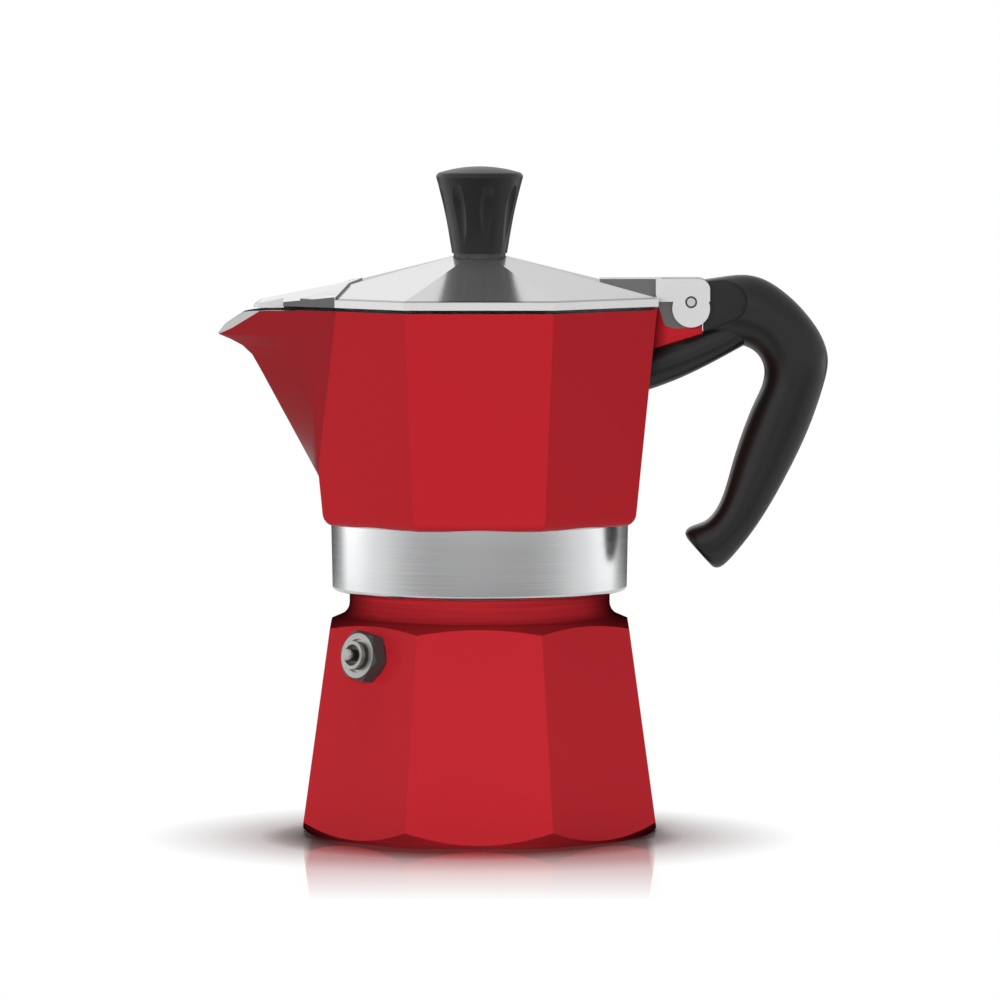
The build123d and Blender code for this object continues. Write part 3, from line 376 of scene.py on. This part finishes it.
# Painted shade: a darker red on the spout's flanks, bounded by the line of the flank's crease.
overlaid(jug_paint, SPOUT_SHADE, ranged(nodes, links, inside.outputs[0], 0, SPOUT_FADE),
         ranged(nodes, links, place["Z"], SPOUT_CORNER_Z - SPOUT_FADE, SPOUT_CORNER_Z),
         ranged(nodes, links, place["X"], -SPOUT_FADE, 0, 1, 0))
middle, normal = face_facts("collector_body")
x, y, z = middle.T
radius = np.hypot(x, y)
outward = (middle[:, :2] * normal[:, :2]).sum(1) / radius
jug = z > COLLAR_TOP
collar = ~jug & (outward > FACING_OUT) & (radius > COLLAR_INSIDE)
face_reach = np.maximum.reduce([np.abs(x), np.abs(y), np.abs(x + y) / 2 ** 0.5, np.abs(x - y) / 2 ** 0.5])
mid_wall = FOOT_REACH + (z - COLLAR_TOP) * DRAFT - HALF_WALL
sides = jug & (outward > FACING_OUT) & (face_reach > mid_wall)
foot_round = jug & (z < FOOT_ROUND_TOP) & (normal[:, 2] < FACING_DOWN) & (radius > FOOT_ROUND_INSIDE)
lug = (x > LUG_START) & (np.abs(y) < LUG_HALF)
spotface = lug & (np.hypot(x - SPOTFACE_X, z - SPOTFACE_Z) < SPOTFACE_RADIUS)
painted = (sides | foot_round | lug) & ~spotface & (normal[:, 2] < GROUND_FACE)
pick = np.where(collar, 2, np.where(painted, 1, np.where(spotface, 3, 0)))
dress("collector_body", cast_metal, jug_paint, collar_metal, shaded_metal, pick=pick)

# Collar thread: the matching ridge cast inside the collar, right-handed, half a pitch off the neck's.
# It takes the neck's ridge between its turns and draws the two halves of the pot together.
COLLAR_BORE, COLLAR_RIDGE = 32.2 * MM, 0.5 * MM
COLLAR_THREAD_FOOT, COLLAR_THREAD_TURNS = 63.7 * MM, 3.2

mesh = helix_ridge("collar_thread", COLLAR_BORE, -COLLAR_RIDGE, COLLAR_THREAD_FOOT, COLLAR_THREAD_TURNS)
collar_thread = new_piece("collar_thread", mesh, bare_metal)
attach(collar_thread, "top")

# Riser: the tapered column that carries the coffee up into the jug.
# Its capped top has two side outlets, and both parts are bare metal.
dress("riser_tube", bare_metal)
dress("riser_cap", bare_metal)

# Hinge pin and handle screw: plain steel, the pin flush with the lid's ears, the screw under the brace.
# The pin's ends are ground bright, with a painted dark ring round each for the shade in the ear's chamfered
# hole.
PIN_X, PIN_Z = 52.7 * MM, 132.9 * MM
PIN_BRIGHT, RING_SHADE = grey(0.62), grey(0.06)
PIN_METALLIC, PIN_ROUGHNESS = 0.5, 0.35
RING_FROM, RING_TO = 0.95 * MM, 1.10 * MM

pin_steel = bpy.data.materials.new("pin_steel")
pin_steel.use_nodes = True
nodes, links = pin_steel.node_tree.nodes, pin_steel.node_tree.links
shader = nodes["Principled BSDF"]
shader.inputs["Metallic"].default_value = PIN_METALLIC
shader.inputs["Roughness"].default_value = PIN_ROUGHNESS
place, centre = nodes.new("ShaderNodeTexCoord"), nodes.new("ShaderNodeVectorMath")
level, distance = nodes.new("ShaderNodeVectorMath"), nodes.new("ShaderNodeVectorMath")
centre.operation, level.operation, distance.operation = "SUBTRACT", "MULTIPLY", "LENGTH"
centre.inputs[1].default_value = (PIN_X, 0, PIN_Z)
level.inputs[1].default_value = (1, 0, 1)
tone = nodes.new("ShaderNodeMix")
tone.data_type = "RGBA"
tone.inputs["A"].default_value, tone.inputs["B"].default_value = PIN_BRIGHT, RING_SHADE
links.new(place.outputs["Object"], centre.inputs[0])
links.new(centre.outputs[0], level.inputs[0])
links.new(level.outputs[0], distance.inputs[0])
links.new(ranged(nodes, links, distance.outputs["Value"], RING_FROM, RING_TO), tone.inputs["Factor"])
links.new(tone.outputs["Result"], shader.inputs["Base Color"])
dress("hinge_pin", pin_steel)
dress("handle_screw", spring_steel)

# Handle: one moulding in black heat-proof plastic.
# It is forked round the hinge lug and screwed to it from below.
black_plastic = skin("black_plastic", grey(0.005), grey(0.008), roughness=(0.30, 0.40), grain=2600,
                     bump=0.006 * MM)
dress("handle", black_plastic)

# Lid: pressed and cast aluminium with eight falling sides, a raised cover over the spout and a forked tab.
# The falling sides are polished, the upright edges and ears are a paler satin, and a painted shade line runs
# between them; the sides of the tab, the cover's wall and step and the knob's seat are painted dark as
# shade.
UPRIGHT = 0.4
TAB_FROM, TAB_TO, TAB_SIDE = 29 * MM, 44 * MM, 0.9
COVER_FROM, COVER_TO, STEP_FACING = -44 * MM, -28 * MM, 0.4
WALL_FROM, WALL_TO, WALL_FADE = -48.6 * MM, -35.8 * MM, 0.2 * MM
SEAM_LOW, SEAM_HIGH, SEAM_END, SEAM_FADE = 134.1 * MM, 134.45 * MM, 44.1 * MM, 0.06 * MM
WALL_SHADE, SEAM_SHADE = grey(0.125), grey(0.36)
SEAT_RADIUS = 6.7 * MM
BRUSHED_RUN = (160, 7000, 7000)
POLISHED = dict(low=grey(0.74), high=grey(0.80), roughness=(0.12, 0.18), run=BRUSHED_RUN, bump=0.0003 * MM,
                metallic=0.9)

lid_metal, lid_inside = lined_skin("lid_metal", **POLISHED), lined_skin("lid_inside", **POLISHED)
edge_metal = lined_skin("edge_metal", grey(0.72), grey(0.80), roughness=(0.3, 0.4), run=BRUSHED_RUN,
                        bump=0.0004 * MM, metallic=0.5)
nodes, links = edge_metal.node_tree.nodes, edge_metal.node_tree.links
place = object_axes(nodes, links)
overlaid(edge_metal, WALL_SHADE, ranged(nodes, links, place["X"], WALL_FROM - WALL_FADE, WALL_FROM),
         ranged(nodes, links, place["X"], WALL_TO, WALL_TO + WALL_FADE, 1, 0))
for skirted in (lid_metal, edge_metal):
    nodes, links = skirted.node_tree.nodes, skirted.node_tree.links
    place = object_axes(nodes, links)
    overlaid(skirted, SEAM_SHADE, ranged(nodes, links, place["Z"], SEAM_LOW - SEAM_FADE, SEAM_LOW),
             ranged(nodes, links, place["Z"], SEAM_HIGH, SEAM_HIGH + SEAM_FADE, 1, 0),
             ranged(nodes, links, place["X"], WALL_TO, WALL_TO + SEAM_FADE),
             ranged(nodes, links, place["X"], SEAM_END, SEAM_END + SEAM_FADE, 1, 0))
middle, normal = face_facts("lid")
x, y, z = middle.T
upright = np.abs(normal[:, 2]) < UPRIGHT
tab_side = (x > TAB_FROM) & (x < TAB_TO) & (np.abs(normal[:, 1]) > TAB_SIDE)
cover_step = upright & (x > COVER_FROM) & (x < COVER_TO) & (normal[:, 0] > STEP_FACING)
seat = upright & (np.hypot(x, y) < SEAT_RADIUS)
underside = ~upright & (normal[:, 2] < 0)
pick = np.where(seat, 3, np.where(tab_side | cover_step, 2, np.where(underside, 4, upright)))
dress("lid", lid_metal, edge_metal, shaded_metal, shade_skin, lid_inside, pick=pick)

# Cover step: the low edge where the spout cover stands up from the lid, a chevron from one corner of the lid
# over its middle to the other. Its upright face is painted dark as shade and its top falls away into the
# cover.
LID_APOTHEM, LID_SKIRT_Z, LID_SLOPE = 44.4 * MM, 134.2 * MM, 0.2623
STEP_CORNER, STEP_APEX = (-35.5 * MM, 27.3 * MM), -29.3 * MM
STEP_HEIGHT, STEP_SINK, STEP_RUN, STEP_GROW = 0.55 * MM, 0.15 * MM, 5 * MM, 0.3
STEP_PLACES, STEP_SKINS = 41, (0, 1)


def lid_height(x, y):
    """Height of the lid's falling sides: the skirt's top plus slope times the way in from the edge."""
    reach = np.maximum.reduce([np.abs(x), np.abs(y), (np.abs(x) + np.abs(y)) / 2 ** 0.5])
    return LID_SKIRT_Z + LID_SLOPE * (LID_APOTHEM - reach)


along = np.linspace(-1, 1, STEP_PLACES)
share = np.abs(along)
edge_x = STEP_APEX + (STEP_CORNER[0] - STEP_APEX) * share
edge_y = STEP_CORNER[1] * along
back_x = edge_x - STEP_RUN * np.clip((1 - share) / STEP_GROW, 0, 1)
foot = np.stack([edge_x, edge_y, lid_height(edge_x, edge_y) - STEP_SINK], -1)
crest = np.stack([edge_x, edge_y, lid_height(edge_x, edge_y) + STEP_HEIGHT], -1)
tail = np.stack([back_x, edge_y, lid_height(back_x, edge_y) - STEP_SINK], -1)
mesh = grid_mesh("cover_step", np.stack([tail, crest, foot], 1))
cover_edge = new_piece("cover_step", mesh, lid_metal, shaded_metal)
mesh.polygons.foreach_set("material_index", np.tile(STEP_SKINS, STEP_PLACES - 1))
mesh.polygons.foreach_set("use_smooth", np.zeros(len(mesh.polygons), bool))
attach(cover_edge, "lid")

# Knob: black plastic with eight flutes.
# It is held by a stud, a washer and a nut under the lid.
dress("knob", black_plastic)
for fixing in ("knob_stud", "knob_washer", "knob_nut"):
    dress(fixing, spring_steel)

# Studio: a round white floor with a soft shadow from the lamps and a painted shadow round the pot's base,
# glossy only in front of the pot and at low angles, a broad lamp far in front and one above, and a long lens
# a little above the pot. Metal sees a room with bright sides, dark flags behind and a pale ceiling that is
# dimmer towards the handle; the camera sees white.
FLOOR_RADIUS, FLOOR_SIDES = 0.7, 96
FLOOR_WHITE, FLOOR_PAINTED_SHADOW = 0.92, 0.12
SHADE_CENTRE = (-0.002, -0.016, 0)
PAINTED_SHADOW_RANGE, SHADE_RANGE = (0.038, 0.053), (0.048, 0.081)
GLOW_DEPTH, GLOW_LEVELS = (-0.35, -0.10), (0.12, 0.7)
FLOOR_GLOSS, GLOSS_ROUGHNESS, GLOSS_TINT = 0.62, 0.02, (1, 0.985, 0.9, 1)
GLOSS_SIDE, GLOSS_FRONT, GLOSS_BACK = (0.0412, 0.0434), (-0.152, -0.066), (-0.02, 0)
GLOSS_GLANCE = (0.78, 0.88)
ROOM_FILL = 0.06
ROOM_LEVELS = [(0.0, 0.82), (0.1, 0.72), (0.29, 0.84), (0.48, 1.0), (0.58, 1.3), (0.66, 1.56), (0.79, 1.62),
               (0.86, 0.46), (0.91, 0.17), (1.0, 0.06)]
CEILING_START = (-0.01, 0.08)
CEILING_HEIGHTS, CEILING_LEVELS = (0.42, 0.56), (0.98, 0.74)
CEILING_SIDE, CEILING_DIM = (0.0, 0.09), 0.74
LAMP_AIM = Vector((0, 0, 0.08))
CAMERA_PLACE, CAMERA_AIM = Vector((0.0051, -1.9, 0.205)), Vector((0.0051, 0, 0.083))
LENS, SENSOR_WIDTH, CLIP_END = 273.6, 36, 100

scene = bpy.context.scene
scene.view_settings.view_transform = "Standard"

turn = np.linspace(0, 2 * np.pi, FLOOR_SIDES, endpoint=False)
ring = FLOOR_RADIUS * np.stack([np.cos(turn), np.sin(turn), 0 * turn], -1)
floor_mesh = bpy.data.meshes.new("floor")
floor_mesh.from_pydata(ring, [], [list(range(FLOOR_SIDES))])
floor = bpy.data.objects.new("floor", floor_mesh)
scene.collection.objects.link(floor)
floor_white = bpy.data.materials.new("floor_white")
floor_white.use_nodes = True
nodes, links = floor_white.node_tree.nodes, floor_white.node_tree.links
nodes.remove(nodes["Principled BSDF"])
place, split = nodes.new("ShaderNodeTexCoord"), nodes.new("ShaderNodeSeparateXYZ")
distance, rays = nodes.new("ShaderNodeVectorMath"), nodes.new("ShaderNodeLightPath")
distance.operation = "DISTANCE"
distance.inputs[1].default_value = SHADE_CENTRE
links.new(place.outputs["Object"], split.inputs[0])
links.new(place.outputs["Object"], distance.inputs[0])
matt, gloss = nodes.new("ShaderNodeBsdfDiffuse"), nodes.new("ShaderNodeBsdfGlossy")
# Painted shadow: the floor's colour darkens towards the pot's base.
painted_shadow = ranged(nodes, links, distance.outputs["Value"], *PAINTED_SHADOW_RANGE, FLOOR_PAINTED_SHADOW, FLOOR_WHITE)
links.new(painted_shadow, matt.inputs["Color"])
gloss.inputs["Color"].default_value = GLOSS_TINT
gloss.inputs["Roughness"].default_value = GLOSS_ROUGHNESS
far_glow, glow = nodes.new("ShaderNodeEmission"), nodes.new("ShaderNodeMix")
links.new(rays.outputs["Is Camera Ray"], glow.inputs["Factor"])
links.new(ranged(nodes, links, split.outputs["Y"], *GLOW_DEPTH, *GLOW_LEVELS), glow.inputs["A"])
glow.inputs["B"].default_value = 1
links.new(glow.outputs["Result"], far_glow.inputs["Strength"])
shaded, whole = nodes.new("ShaderNodeMixShader"), nodes.new("ShaderNodeMixShader")
links.new(ranged(nodes, links, distance.outputs["Value"], *SHADE_RANGE), shaded.inputs["Fac"])
links.new(matt.outputs[0], shaded.inputs[1])
links.new(far_glow.outputs[0], shaded.inputs[2])
sideways, glance = nodes.new("ShaderNodeMath"), nodes.new("ShaderNodeLayerWeight")
sideways.operation = "ABSOLUTE"
links.new(split.outputs["X"], sideways.inputs[0])
glossy = multiplied(nodes, links, ranged(nodes, links, sideways.outputs[0], *GLOSS_SIDE, 1, 0),
                    ranged(nodes, links, split.outputs["Y"], *GLOSS_FRONT, 0, FLOOR_GLOSS),
                    ranged(nodes, links, split.outputs["Y"], *GLOSS_BACK, 1, 0),
                    ranged(nodes, links, glance.outputs["Facing"], *GLOSS_GLANCE))
links.new(glossy, whole.inputs["Fac"])
links.new(shaded.outputs[0], whole.inputs[1])
links.new(gloss.outputs[0], whole.inputs[2])
links.new(whole.outputs[0], nodes["Material Output"].inputs["Surface"])
floor_mesh.materials.append(floor_white)

world = bpy.data.worlds.new("studio")
scene.world = world
world.use_nodes = True
nodes, links = world.node_tree.nodes, world.node_tree.links
background = nodes["Background"]
background.inputs["Color"].default_value = grey(1)
place, split = nodes.new("ShaderNodeTexCoord"), nodes.new("ShaderNodeSeparateXYZ")
rays, walls = nodes.new("ShaderNodeLightPath"), nodes.new("ShaderNodeValToRGB")
links.new(place.outputs["Generated"], split.inputs[0])
while len(walls.color_ramp.elements) < len(ROOM_LEVELS):
    walls.color_ramp.elements.new(0.5)
for element, (position, level) in zip(walls.color_ramp.elements, ROOM_LEVELS):
    element.position = position
    element.color = grey(level)
links.new(ranged(nodes, links, split.outputs["Y"], -1, 1), walls.inputs["Fac"])
room, mirrored, seen = nodes.new("ShaderNodeMix"), nodes.new("ShaderNodeMix"), nodes.new("ShaderNodeMix")
links.new(ranged(nodes, links, split.outputs["Z"], *CEILING_START), room.inputs["Factor"])
links.new(walls.outputs["Color"], room.inputs["A"])
over = ranged(nodes, links, split.outputs["Z"], *CEILING_HEIGHTS, *CEILING_LEVELS)
dim_side = ranged(nodes, links, split.outputs["X"], *CEILING_SIDE, 1, CEILING_DIM)
links.new(multiplied(nodes, links, over, dim_side), room.inputs["B"])
links.new(rays.outputs["Is Glossy Ray"], mirrored.inputs["Factor"])
mirrored.inputs["A"].default_value = ROOM_FILL
links.new(room.outputs["Result"], mirrored.inputs["B"])
either = nodes.new("ShaderNodeMath")
either.operation = "MAXIMUM"
links.new(rays.outputs["Is Camera Ray"], either.inputs[0])
links.new(rays.outputs["Is Transmission Ray"], either.inputs[1])
links.new(either.outputs[0], seen.inputs["Factor"])
links.new(mirrored.outputs["Result"], seen.inputs["A"])
seen.inputs["B"].default_value = 1
links.new(seen.outputs["Result"], background.inputs["Strength"])


def soft_lamp(name, place, width, height, watts):
    """Rectangular soft lamp at a place, turned to face the pot; shiny skins don't show it."""
    light = bpy.data.lights.new(name, "AREA")
    light.shape = "RECTANGLE"
    light.size, light.size_y, light.energy = width, height, watts
    lamp = bpy.data.objects.new(name, light)
    lamp.location = place
    lamp.visible_glossy = False
    lamp.rotation_mode = "QUATERNION"
    lamp.rotation_quaternion = (LAMP_AIM - Vector(place)).to_track_quat("-Z", "Y")
    scene.collection.objects.link(lamp)


soft_lamp("front_lamp", place=(-0.31, -2.5, 0.40), width=0.7, height=0.6, watts=53)
soft_lamp("top_lamp", place=(0, 0.1, 1.5), width=1.0, height=1.0, watts=13)

camera = bpy.data.objects.new("camera", bpy.data.cameras.new("camera"))
camera.data.lens = LENS
camera.data.sensor_width = SENSOR_WIDTH
camera.data.clip_end = CLIP_END
camera.location = CAMERA_PLACE
camera.rotation_mode = "QUATERNION"
camera.rotation_quaternion = (CAMERA_AIM - CAMERA_PLACE).to_track_quat("-Z", "Y")
scene.collection.objects.link(camera)
scene.camera = camera
